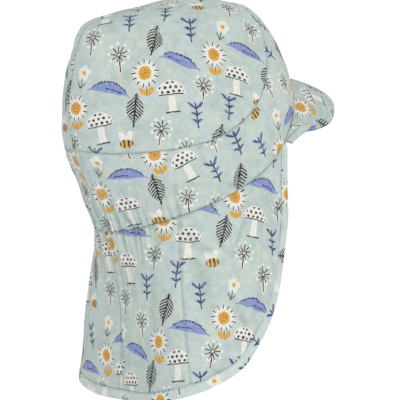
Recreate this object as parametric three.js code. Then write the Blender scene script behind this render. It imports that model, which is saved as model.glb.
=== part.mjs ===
// A child's legionnaire cap in printed cotton. Two crown halves meet on a centre seam, a forehead
// panel runs round below them as a band, a stiff curved peak stands out at the front, and a neck
// flap in two halves, with a bound edge, hangs from the rim behind the peak.
// Millimetres. +Z is up as worn, the peak points to -Y and the wearer's right side is at -X.
// The origin is where the inside of the crown rests on the top of the head.

import * as THREE from 'three';
import { mergeVertices } from 'three/addons/utils/BufferGeometryUtils.js';

// Driving dimensions of the crown and band
const crownHeight = 144.5; // from the rim plane to the pole, outside
const frontReach = 106; // from the middle of the rim plane to the forehead
const backReach = 81; // from the middle of the rim plane to the nape
const halfWidth = 74; // at the widest section
const browRise = 42; // how far the rim climbs from the nape to the forehead
const wornTilt = 24; // degrees that the rim plane tips back on the head
const clothWall = 1.6; // two layers of cotton and their seam turnings

// Driving dimensions of the flap and its binding
const flapDrop = 121; // from the rim to the binding
const flapFlare = 22; // how far the flap stands wider than the rim
const flapTuck = 14; // how far it falls in towards the neck at the centre back
const flapWall = 1.2;
const bindingWidth = 7.5;
const bindingWall = 2.2;

// Driving dimensions of the peak
const peakLength = 45.5; // ahead of the rim at the centre
const peakSpread = 12.8; // how far its sides stand wider than the rim
const peakDrop = 23; // how far its corners fall below the rim
const peakWall = 3;
const peakEnd = 119.5; // degrees from the centre back to where the peak starts

// The elastic at the nape, and the gap that sewn edges keep
const gatherCount = 11; // folds over the gathered stretch
const gatherSpan = 52; // degrees each side of the centre back
const gatherDepth = 1.5;
const gatherReach = 26; // where the folds have faded to a third
const gatherDrift = 0.9; // radians by which the folds wander from an even pitch
const seamGap = 0.3;

// How finely the panels are faceted
const gatherColumns = 20;
const sideColumns = 10;
const frontColumns = 11;
const crownRows = 10;
const bandRows = 6;
const flapRows = 12;
const peakRows = 6;

// Sections of the crown from the pole, at share 0, to the rim, at share 1: shares of its height and
// of its three reaches, and how much the section narrows to a point at the nape. The first row
// mirrors the third, so that the pole is smooth.
const crownSections = [
  { at: -0.15, depth: 0.014, front: -0.4, back: -0.385, side: -0.32, point: 0.36 },
  { at: 0, depth: 0, front: 0, back: 0, side: 0, point: 0.38 },
  { at: 0.15, depth: 0.014, front: 0.4, back: 0.385, side: 0.32, point: 0.38 },
  { at: 0.3, depth: 0.071, front: 0.66, back: 0.545, side: 0.515, point: 0.38 },
  { at: 0.43, depth: 0.2, front: 0.89, back: 0.715, side: 0.635, point: 0.36 },
  { at: 0.56, depth: 0.39, front: 1, back: 0.925, side: 0.79, point: 0.3 },
  { at: 0.7, depth: 0.59, front: 1.015, back: 1.02, side: 0.94, point: 0.22 },
  { at: 0.85, depth: 0.8, front: 1.005, back: 1.01, side: 0.985, point: 0.17 },
  { at: 1, depth: 1, front: 1, back: 1, side: 0.93, point: 0.167 },
];
const crownLean = 0.205; // how much the top rises towards the back
const browBlunt = 0.13; // how much its sections widen towards the forehead

// Round the cap, by degrees from the centre back: how far the rim has climbed, as a share of
// browRise, and where the seam between crown and band runs, as a share of the section.
const rimLine = [
  { at: 0, rise: 0.048 },
  { at: 60, rise: 0.036 },
  { at: 90, rise: 0.048 },
  { at: 105, rise: 0.12 },
  { at: 120, rise: 0.333 },
  { at: 140, rise: 0.714 },
  { at: 160, rise: 0.93 },
  { at: 180, rise: 1 },
];
const crownSeam = [
  { at: 0, share: 0.69 },
  { at: 30, share: 0.72 },
  { at: 60, share: 0.755 },
  { at: 90, share: 0.77 },
  { at: 110, share: 0.74 },
  { at: 125, share: 0.665 },
  { at: 140, share: 0.55 },
  { at: 155, share: 0.45 },
  { at: 180, share: 0.4 },
];

// The flap's lower edge, by degrees from the centre back, as shares of its drop, flare and tuck
const flapEdge = [
  { at: -20, drop: 1, out: -0.58, back: -0.5 },
  { at: 0, drop: 0.99, out: 0, back: -1 },
  { at: 20, drop: 1, out: 0.58, back: -0.5 },
  { at: 35, drop: 1, out: 0.92, back: 0.06 },
  { at: 50, drop: 1.01, out: 1, back: 0.4 },
  { at: 65, drop: 1.015, out: 0.86, back: 0.44 },
  { at: 85, drop: 0.985, out: 0.7, back: 0.3 },
  { at: 100, drop: 0.875, out: 0.5, back: 0.32 },
  { at: 108, drop: 0.74, out: 0.33, back: 0.22 },
  { at: 114, drop: 0.46, out: 0.15, back: 0.12 },
];

// The peak's outer edge, by degrees, as shares of its length, spread and drop
const peakEdge = [
  { at: 118, ahead: 0.1, out: 0.22, drop: 0.06 },
  { at: 130, ahead: 0.12, out: 0.7, drop: 0.36 },
  { at: 140, ahead: 0.31, out: 1, drop: 0.8 },
  { at: 150, ahead: 0.59, out: 1, drop: 1 },
  { at: 160, ahead: 0.79, out: 0.86, drop: 0.86 },
  { at: 170, ahead: 0.93, out: 0.52, drop: 0.7 },
  { at: 180, ahead: 1, out: 0, drop: 0.52 },
];
const peakArch = 1.7; // the power by which the peak bends down towards its edge

// Soft dents where the crown is not filled by a head, and folds that hang from the gathers:
// the middle of each, half its length and half its width, and how far it sinks in.
const crownDents = [
  { angle: 38, share: 0.42, long: 22, wide: 7, slant: 40, depth: 1.6 },
  { angle: 96, share: 0.34, long: 30, wide: 9, slant: -35, depth: 1.8 },
  { angle: -60, share: 0.4, long: 26, wide: 9, slant: 20, depth: 1.5 },
];
const flapFolds = [
  { angle: 62, share: 0.42, long: 40, wide: 7, slant: 24, depth: 2.2 },
  { angle: 30, share: 0.3, long: 34, wide: 6, slant: -12, depth: 1.8 },
  { angle: -36, share: 0.36, long: 38, wide: 7, slant: 10, depth: 2 },
];

const radians = THREE.MathUtils.degToRad;

// A smooth value from one column of a table, flat at both ends where level is true
function read(table, column, at, level = true) {
  const last = table.length - 1;
  const place = THREE.MathUtils.clamp(at, table[0].at, table[last].at);
  let row = 0;
  while (row < last - 1 && place > table[row + 1].at) row += 1;
  const slope = (index) => {
    if (index === 0 || index === last) {
      const next = index === 0 ? 1 : last - 1;
      return level ? 0 : (table[next][column] - table[index][column]) / (table[next].at - table[index].at);
    }
    const before = table[index - 1];
    const after = table[index + 1];
    return (after[column] - before[column]) / (after.at - before.at);
  };
  const span = table[row + 1].at - table[row].at;
  const part = (place - table[row].at) / span;
  const rest = 1 - part;
  return (
    rest * rest * (1 + 2 * part) * table[row][column] +
    rest * rest * part * span * slope(row) +
    part * part * (3 - 2 * part) * table[row + 1][column] -
    part * part * rest * span * slope(row + 1)
  );
}

// From the cap's own frame, whose rim plane is level, to the frame as worn
function worn(x, back, up) {
  const tilt = radians(wornTilt);
  return new THREE.Vector3(
    x,
    back * Math.cos(tilt) + up * Math.sin(tilt),
    up * Math.cos(tilt) - back * Math.sin(tilt),
  );
}

// How far the gathers push the cloth out, at an angle and a distance from the rim
function gather(angle, distance) {
  const across = Math.abs(angle) / gatherSpan;
  if (across >= 1) return 0;
  const drift = gatherDrift * Math.sin(angle / 9);
  const wave = Math.cos((Math.PI * gatherCount * angle) / gatherSpan + drift);
  return gatherDepth * wave * Math.cos((across * Math.PI) / 2) * Math.exp(-distance / gatherReach);
}

// How far a table's dents sink in at an angle and share, on cloth that measures so many
// millimetres to a degree and to a full share
function sink(table, angle, share, perDegree, perShare) {
  let total = 0;
  for (const dent of table) {
    const across = (angle - dent.angle) * perDegree;
    const down = (share - dent.share) * perShare;
    const slant = radians(dent.slant);
    const lengthwise = down * Math.cos(slant) + across * Math.sin(slant);
    const crosswise = across * Math.cos(slant) - down * Math.sin(slant);
    total += dent.depth * Math.exp(-((lengthwise / dent.long) ** 2) - (crosswise / dent.wide) ** 2);
  }
  return total;
}

// The outside of the crown and band, at degrees from the centre back, positive to the wearer's
// right, and a share of the section
function capPoint(angle, share) {
  const turn = radians(angle);
  const ahead = Math.cos(turn);
  const section = (column) => read(crownSections, column, share, false);
  const rim = browRise * read(rimLine, 'rise', Math.abs(angle));
  const sideways = 1 - ahead * ahead;
  const back =
    ahead > 0
      ? backReach * section('back') * ahead * (1 - section('point') * sideways)
      : frontReach * section('front') * ahead * (1 + browBlunt * sideways);
  const side = halfWidth * section('side') * Math.sin(turn);
  const depth = section('depth');
  const up = crownHeight - (crownHeight - rim) * depth + crownLean * back * (1 - depth);
  const perDegree = halfWidth * radians(1);
  const push = gather(angle, up - rim) - sink(crownDents, angle, share, perDegree, crownHeight);
  return worn(-side - push * Math.sin(turn), back + push * ahead, up);
}

// The same surface over a flat disc, where it has no pole
function discPoint(across, along) {
  return capPoint(THREE.MathUtils.radToDeg(Math.atan2(across, along)), Math.hypot(across, along));
}

// The way out of a surface given by two parameters
function outward(surface, first, second, firstStep, secondStep) {
  const along = surface(first + firstStep, second).sub(surface(first - firstStep, second));
  const down = surface(first, second + secondStep).sub(surface(first, second - secondStep));
  return along.cross(down).normalize();
}

const discStep = 0.003;
function capNormal(angle, share) {
  const turn = radians(angle);
  const across = share * Math.sin(turn);
  return outward(discPoint, across, share * Math.cos(turn), -discStep, discStep);
}

// The rim, and the line that the flap and the peak hang from, one gap below it
function rimPoint(angle, below = 0) {
  const down = worn(0, 0, -1);
  return capPoint(angle, 1).addScaledVector(down, below);
}

function flapPoint(angle, share) {
  const size = Math.abs(angle);
  const start = rimPoint(angle, seamGap);
  const side = angle < 0 ? 1 : -1;
  const settled = 1 - (1 - share) ** 3;
  const drop = flapDrop * read(flapEdge, 'drop', size, false);
  const turn = radians(angle);
  const perDegree = (halfWidth + flapFlare) * radians(1);
  const fade = Math.min(1, share / 0.15);
  const fold = sink(flapFolds, angle, share, perDegree, flapDrop);
  const push = gather(angle, share * drop) - gather(angle, 0) - fade * fold;
  start.x += side * flapFlare * read(flapEdge, 'out', size, false) * share;
  start.y += flapTuck * read(flapEdge, 'back', size, false) * settled;
  start.z -= drop * share;
  return start.add(worn(-push * Math.sin(turn), push * Math.cos(turn), 0));
}

const angleStep = 0.2;
const shareStep = 0.004;
const turnOver = 0.12; // the share of the flap over which its wall turns from the band's
function flapNormal(angle, share) {
  const inside = Math.max(share, shareStep);
  const own = outward(flapPoint, angle, inside, -angleStep, shareStep);
  const blend = Math.min(1, share / turnOver);
  return capNormal(angle, 1).lerp(own, blend).normalize();
}

// The peak's upper face, at degrees round the rim, past 180 on the wearer's left, and a share
// from the rim to the outer edge
function peakPoint(angle, share) {
  const start = rimPoint(angle > 180 ? angle - 360 : angle, seamGap);
  const size = angle > 180 ? 360 - angle : angle;
  const side = angle > 180 ? 1 : -1;
  start.x += side * peakSpread * read(peakEdge, 'out', size) * share;
  start.y -= peakLength * read(peakEdge, 'ahead', size) * share;
  start.z -= peakDrop * read(peakEdge, 'drop', size) * share ** peakArch;
  return start;
}

function peakNormal(angle, share) {
  const inside = THREE.MathUtils.clamp(share, shareStep, 1 - shareStep);
  return outward(peakPoint, angle, inside, -angleStep, shareStep);
}

// A closed wall under a grid of outer points and their normals, columns by rows
function clothWallGeometry(grid, wall) {
  const columns = grid.length - 1;
  const rows = grid[0].length - 1;
  const positions = [];
  for (const depth of [0, wall]) {
    for (const column of grid) {
      for (const { point, normal } of column) {
        positions.push(...point.clone().addScaledVector(normal, -depth).toArray());
      }
    }
  }
  const count = (columns + 1) * (rows + 1);
  const outer = (column, row) => column * (rows + 1) + row;
  const inner = (column, row) => count + outer(column, row);
  const faces = [];
  const quad = (a, b, c, d) => faces.push([a, b, c], [a, c, d]);
  for (let i = 0; i < columns; i += 1) {
    for (let j = 0; j < rows; j += 1) {
      quad(outer(i, j), outer(i, j + 1), outer(i + 1, j + 1), outer(i + 1, j));
      quad(inner(i, j), inner(i + 1, j), inner(i + 1, j + 1), inner(i, j + 1));
    }
    quad(outer(i, 0), outer(i + 1, 0), inner(i + 1, 0), inner(i, 0));
    quad(outer(i + 1, rows), outer(i, rows), inner(i, rows), inner(i + 1, rows));
  }
  for (let j = 0; j < rows; j += 1) {
    quad(outer(0, j + 1), outer(0, j), inner(0, j), inner(0, j + 1));
    quad(outer(columns, j), outer(columns, j + 1), inner(columns, j + 1), inner(columns, j));
  }
  return closedGeometry(positions, faces);
}

// Merges shared corners and drops the faces that a pointed end has flattened
function closedGeometry(positions, faces) {
  const loose = new THREE.BufferGeometry();
  loose.setAttribute('position', new THREE.Float32BufferAttribute(positions, 3));
  loose.setIndex(faces.flat());
  const merged = mergeVertices(loose, 1e-3);
  const index = merged.getIndex().array;
  const kept = [];
  for (let k = 0; k < index.length; k += 3) {
    const [a, b, c] = [index[k], index[k + 1], index[k + 2]];
    if (a !== b && b !== c && c !== a) kept.push(a, b, c);
  }
  merged.setIndex(kept);
  merged.computeVertexNormals();
  return merged;
}

// Count angles from one to another, without the last
function steps(from, to, count) {
  return Array.from({ length: count }, (_, k) => from + ((to - from) * k) / count);
}

// Degrees round the rim that a distance takes, behind the peak's end
function rimDegrees(distance) {
  return distance / rimPoint(peakEnd).distanceTo(rimPoint(peakEnd - 1));
}

const flapEnd = peakEnd - rimDegrees(bindingWidth + 2 * seamGap);
const napeAngles = steps(0, gatherSpan, gatherColumns);
const flapAngles = [...napeAngles, ...steps(gatherSpan, flapEnd, sideColumns), flapEnd];
const peakAngles = [...steps(peakEnd, 180, frontColumns), 180];
const capAngles = [...flapAngles, ...peakAngles];

// A panel's edge on the centre seam stands half a gap from the middle, square to it
function onCentreSeam(corner, side) {
  corner.point.x = (side * seamGap) / 2;
  corner.normal.setX(0).normalize();
  return corner;
}

// The share of the section that half a seam gap takes. The seam slants, so it is cut wider.
function halfGapShare(angle, share) {
  const slantRoom = 1.4;
  const step = 0.01;
  const length = capPoint(angle, share + step).distanceTo(capPoint(angle, share - step));
  return (((slantRoom * seamGap) / 2) * 2 * step) / length;
}

function rows(count) {
  return [...steps(0, 1, count), 1];
}

// One half of the crown: straight rows over the disc, from the centre seam to the band's seam
function crownHalf(side) {
  const backEnd = read(crownSeam, 'share', 0);
  const frontEnd = read(crownSeam, 'share', 180);
  const grid = capAngles.map((angle) => {
    const seam = read(crownSeam, 'share', angle);
    const edge = seam - halfGapShare(-side * angle, seam);
    const turn = radians(angle);
    const backCut = backEnd - halfGapShare(0, backEnd);
    const frontCut = frontEnd - halfGapShare(180, frontEnd);
    const middle = THREE.MathUtils.lerp(backCut, -frontCut, angle / 180);
    const ends = angle === 0 || angle === 180;
    return rows(crownRows).map((part) => {
      const across = -side * part * edge * Math.sin(turn);
      const along = THREE.MathUtils.lerp(middle, edge * Math.cos(turn), part);
      const way = THREE.MathUtils.radToDeg(Math.atan2(across, along));
      const corner = { point: discPoint(across, along), normal: capNormal(way, Math.hypot(across, along)) };
      return part === 0 || ends ? onCentreSeam(corner, side) : corner;
    });
  });
  return side < 0 ? grid : grid.reverse();
}

// The forehead panel and band, from the centre back round the wearer's right side and the
// forehead to the centre back again
function frontBand() {
  const left = capAngles.slice(0, -1).map((angle) => -angle);
  const round = [...capAngles, ...left.reverse()];
  return round.map((angle, index) => {
    const seam = read(crownSeam, 'share', Math.abs(angle));
    const top = seam + halfGapShare(angle, seam);
    return rows(bandRows).map((part) => {
      const share = THREE.MathUtils.lerp(top, 1, part);
      const corner = { point: capPoint(angle, share), normal: capNormal(angle, share) };
      if (index === 0) return onCentreSeam(corner, -1);
      if (index === round.length - 1) return onCentreSeam(corner, 1);
      return corner;
    });
  });
}

function flapHalf(side) {
  const grid = flapAngles.map((angle) =>
    rows(flapRows).map((part) => {
      const way = -side * angle;
      const corner = { point: flapPoint(way, part), normal: flapNormal(way, part) };
      return angle === 0 ? onCentreSeam(corner, side) : corner;
    }),
  );
  return side < 0 ? grid : grid.reverse();
}

function peak() {
  const left = peakAngles.slice(0, -1).map((angle) => 360 - angle);
  return [...peakAngles, ...left.reverse()].map((angle) =>
    rows(peakRows).map((part) => ({ point: peakPoint(angle, part), normal: peakNormal(angle, part) })),
  );
}

// The binding follows the flap's free edge: down one front edge, along the bottom and up again
function flapBinding() {
  const down = rows(flapRows).slice(0, -1);
  const left = flapAngles.slice(1).map((angle) => -angle);
  const path = [
    ...down.map((share) => [flapEnd, share]),
    ...[...flapAngles].reverse().map((angle) => [angle, 1]),
    ...left.map((angle) => [angle, 1]),
    ...[...down].reverse().map((share) => [-flapEnd, share]),
  ];
  const edge = path.map(([angle, share]) => flapPoint(angle, share));
  const last = path.length - 1;
  const positions = [];
  path.forEach(([angle, share], k) => {
    const normal = flapNormal(angle, share);
    const along = edge[Math.min(k + 1, last)].clone().sub(edge[Math.max(k - 1, 0)]);
    const away = normal.clone().cross(along).normalize();
    if (k === 0 || k === last) {
      const end = k === 0 ? peakEnd : -peakEnd;
      away.copy(rimPoint(end)).sub(rimPoint(Math.sign(end) * flapEnd)).normalize();
    }
    const proud = (bindingWall - flapWall) / 2;
    for (const [reach, depth] of [
      [seamGap, -proud],
      [seamGap + bindingWidth, -proud],
      [seamGap + bindingWidth, flapWall + proud],
      [seamGap, flapWall + proud],
    ]) {
      const corner = edge[k].clone().addScaledVector(away, reach).addScaledVector(normal, -depth);
      positions.push(...corner.toArray());
    }
  });
  const faces = [];
  for (let k = 0; k < last; k += 1) {
    for (let side = 0; side < 4; side += 1) {
      const next = (side + 1) % 4;
      faces.push([4 * k + side, 4 * k + 4 + next, 4 * k + next]);
      faces.push([4 * k + side, 4 * k + 4 + side, 4 * k + 4 + next]);
    }
  }
  const end = 4 * last;
  faces.push([0, 2, 3], [0, 1, 2], [end, end + 2, end + 1], [end, end + 3, end + 2]);
  return closedGeometry(positions, faces);
}

// The highest place inside the crown, where it rests on a head
function headSeat() {
  let seat = new THREE.Vector3(0, 0, -Infinity);
  for (const angle of [0, 180]) {
    for (let share = 0; share < 0.5; share += 0.005) {
      const inside = capPoint(angle, share).addScaledVector(capNormal(angle, share), -clothWall);
      if (inside.z > seat.z) seat = inside;
    }
  }
  return seat.setX(0);
}

// Printed cotton, all cut from one pale cloth, and its darker look on the shaded peak
const printedCotton = { color: 0xb4cbc7, roughness: 0.85, metalness: 0 };
const peakCotton = { color: 0x9fb8b6, roughness: 0.85, metalness: 0 };
const bindingCotton = { color: 0xacc4c1, roughness: 0.85, metalness: 0 };

function piece(name, geometry, look) {
  const mesh = new THREE.Mesh(geometry, new THREE.MeshStandardMaterial(look));
  mesh.name = name;
  return mesh;
}

const cap = new THREE.Group();
cap.add(
  piece('crown_right', clothWallGeometry(crownHalf(-1), clothWall), printedCotton),
  piece('crown_left', clothWallGeometry(crownHalf(1), clothWall), printedCotton),
  piece('front_band', clothWallGeometry(frontBand(), clothWall), printedCotton),
  piece('peak', clothWallGeometry(peak(), peakWall), peakCotton),
  piece('flap_right', clothWallGeometry(flapHalf(-1), flapWall), printedCotton),
  piece('flap_left', clothWallGeometry(flapHalf(1), flapWall), printedCotton),
  piece('flap_hem', flapBinding(), bindingCotton),
);
cap.position.copy(headSeat()).negate();

export default cap;
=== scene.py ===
"""Dresses a child's legionnaire cap in printed cotton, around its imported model.

The cloth follows the same named sizes as the part's source, in millimetres, on finer grids. Each
panel is laid flat to find how it was cut, and its printed pattern runs over that flat cut. The
print is a generic one of meadow plants, in a slanting repeat.
"""

import logging
import math
from collections.abc import Callable, Sequence
from dataclasses import dataclass
from enum import Enum, IntEnum

import bmesh
import bpy
import numpy as np
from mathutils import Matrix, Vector, noise


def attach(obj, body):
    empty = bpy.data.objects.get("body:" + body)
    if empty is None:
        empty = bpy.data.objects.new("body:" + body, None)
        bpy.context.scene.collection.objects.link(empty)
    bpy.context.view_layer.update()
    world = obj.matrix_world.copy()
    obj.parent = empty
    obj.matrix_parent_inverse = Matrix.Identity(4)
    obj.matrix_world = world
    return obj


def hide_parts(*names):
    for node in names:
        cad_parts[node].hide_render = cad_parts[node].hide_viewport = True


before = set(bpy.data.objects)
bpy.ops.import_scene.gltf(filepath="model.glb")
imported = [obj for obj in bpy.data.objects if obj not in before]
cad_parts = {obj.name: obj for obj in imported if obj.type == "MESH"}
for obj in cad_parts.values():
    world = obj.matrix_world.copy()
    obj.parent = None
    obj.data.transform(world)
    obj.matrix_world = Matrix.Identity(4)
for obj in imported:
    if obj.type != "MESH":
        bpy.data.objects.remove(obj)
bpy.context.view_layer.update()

LOG = logging.getLogger("legionnaire_cap")
MILLI = 0.001
Array = np.ndarray
Surface = Callable[[Array, Array], Array]
Cut = tuple[float, tuple[float, float]]
"""A panel's turn in degrees when it was cut, and where on the printed cloth, in millimetres."""

SEED_STEP, MERGE_REACH = 17.3, 2e-6
CREASE_WIDTH, CREASE_SHARE, CREASE_CONTRAST = 0.09, 0.35, 2.2
EDGE_DEPTH, EDGE_SPREAD, EDGE_SINK, EDGE_RISE = 1.6, 0.8, 0.34, 0.3
FULL_RAISE, FAR_FROM_EDGE = 2, 99.0
FLAT_COLUMNS, FLAT_LINES = 33, 13
BEND_ROUNDS, BEND_HALF, LEAST_STEP_SQUARED = 6, 0.2, 0.04
DISC_STEPS, SHEET_STEPS = (-0.003, 0.003), (-0.2, 0.004)


# Numbers, tables and grids


class Side(IntEnum):
    """A side of the cap as worn, whose number is its sign along x."""

    RIGHT = -1
    LEFT = 1

    def of(self, what: str) -> str:
        """The name of this side's half of something."""
        return f"{what}_{self.name.lower()}"


def unit(vectors: Array) -> Array:
    """Vectors of length one, the same way round."""
    return vectors / np.maximum(np.linalg.norm(vectors, axis=-1, keepdims=True), 1e-12)


def crowded(count: int, crowding: float = 0.75) -> Array:
    """Places from 0 to 1 that stand closer together near both ends.

    Args:
        count: How many steps there are.
        crowding: From 0, evenly spread, to just under 1.

    Returns:
        One more place than there are steps.
    """
    even = np.linspace(0, 1, count + 1)
    return even - crowding * np.sin(2 * math.pi * even) / (2 * math.pi)


def ruffle(points: Array, wavelength: float, seed: float) -> Array:
    """Smooth noise from -1 to 1 at each point.

    Args:
        points: Points in millimetres, any number of axes before the last.
        wavelength: The size of the lumps.
        seed: Which noise it is.

    Returns:
        One number for each point.
    """
    flat = points.reshape(-1, 3) / wavelength + seed * SEED_STEP
    values = np.fromiter((noise.noise(Vector(row)) for row in flat), float, len(flat))
    return values.reshape(points.shape[:-1])


def creased(points: Array, wavelength: float, seed: float) -> Array:
    """Thin wandering valleys that fade in and out, from 0 down to -1.

    Args:
        points: Points in millimetres, any number of axes before the last.
        wavelength: How far apart the valleys run.
        seed: Which noise it is.

    Returns:
        One number for each point.
    """
    valley = np.exp(-((ruffle(points, wavelength, seed) / CREASE_WIDTH) ** 2))
    shown = CREASE_SHARE + CREASE_CONTRAST * ruffle(points, 1.3 * wavelength, seed + 0.5)
    return -valley * np.clip(shown, 0, 1)


def run_along(points: Array, axis: int = 0) -> Array:
    """The distance run to each point along one axis of a grid, from nothing at its start."""
    steps = np.linalg.norm(np.diff(points, axis=axis), axis=-1)
    return np.insert(np.cumsum(steps, axis=axis), 0, 0, axis=axis)


class Table:
    """A short table of named columns that reads as a smooth curve over its column "at"."""

    def __init__(self, columns: str, *rows: Sequence[float]) -> None:
        """Keeps the rows by column name.

        Args:
            columns: The names, with spaces between.
            rows: One row for each place.
        """
        values = np.array(rows, float)
        self.columns = {name: values[:, k] for k, name in enumerate(columns.split())}
        self.at = self.columns["at"]

    def read(self, column: str, at: Array | float, level: bool = True) -> Array:
        """A column's value at each place.

        Args:
            column: The column's name.
            at: The places, held within the table.
            level: Whether the curve is flat at both of its ends.

        Returns:
            One value for each place.
        """
        values = self.columns[column]
        slope = np.zeros_like(values)
        slope[1:-1] = (values[2:] - values[:-2]) / (self.at[2:] - self.at[:-2])
        if not level:
            slope[0] = (values[1] - values[0]) / (self.at[1] - self.at[0])
            slope[-1] = (values[-1] - values[-2]) / (self.at[-1] - self.at[-2])
        place = np.clip(np.asarray(at, float), self.at[0], self.at[-1])
        row = np.clip(np.searchsorted(self.at, place) - 1, 0, len(self.at) - 2)
        span = self.at[row + 1] - self.at[row]
        part = (place - self.at[row]) / span
        rest = 1 - part
        start = rest**2 * ((1 + 2 * part) * values[row] + part * span * slope[row])
        end = part**2 * ((3 - 2 * part) * values[row + 1] - rest * span * slope[row + 1])
        return start + end


@dataclass(frozen=True)
class Dent:
    """A long soft hollow in the cloth, in degrees, shares of the panel and millimetres."""

    angle: float
    share: float
    long: float
    wide: float
    slant: float
    depth: float

    def sink(self, angle: Array, share: Array, per_degree: float, per_share: float) -> Array:
        """How far the cloth sinks in.

        Args:
            angle: Degrees from the centre back.
            share: Share of the way down.
            per_degree: Millimetres of cloth to a degree.
            per_share: Millimetres of cloth to a full share.

        Returns:
            Millimetres at each place.
        """
        across = (angle - self.angle) * per_degree
        down = (share - self.share) * per_share
        slant = math.radians(self.slant)
        lengthwise = down * math.cos(slant) + across * math.sin(slant)
        crosswise = across * math.cos(slant) - down * math.sin(slant)
        return self.depth * np.exp(-((lengthwise / self.long) ** 2) - (crosswise / self.wide) ** 2)


def dents(*rows: tuple[float, ...]) -> tuple[Dent, ...]:
    """Hollows from rows of an angle, a share, how long and wide, a slant and a depth."""
    return tuple(Dent(*row) for row in rows)


def outward(surface: Surface, first: Array, second: Array, steps: tuple[float, float]) -> Array:
    """The way out of a surface of two parameters.

    Args:
        surface: The surface.
        first: Its first parameter.
        second: Its second parameter.
        steps: How far to look on each side, whose signs settle which side is out.

    Returns:
        One unit vector for each place.
    """
    along = surface(first + steps[0], second) - surface(first - steps[0], second)
    down = surface(first, second + steps[1]) - surface(first, second - steps[1])
    return unit(np.cross(along, down))


# The cap's form, from the sizes in its CAD source


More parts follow.
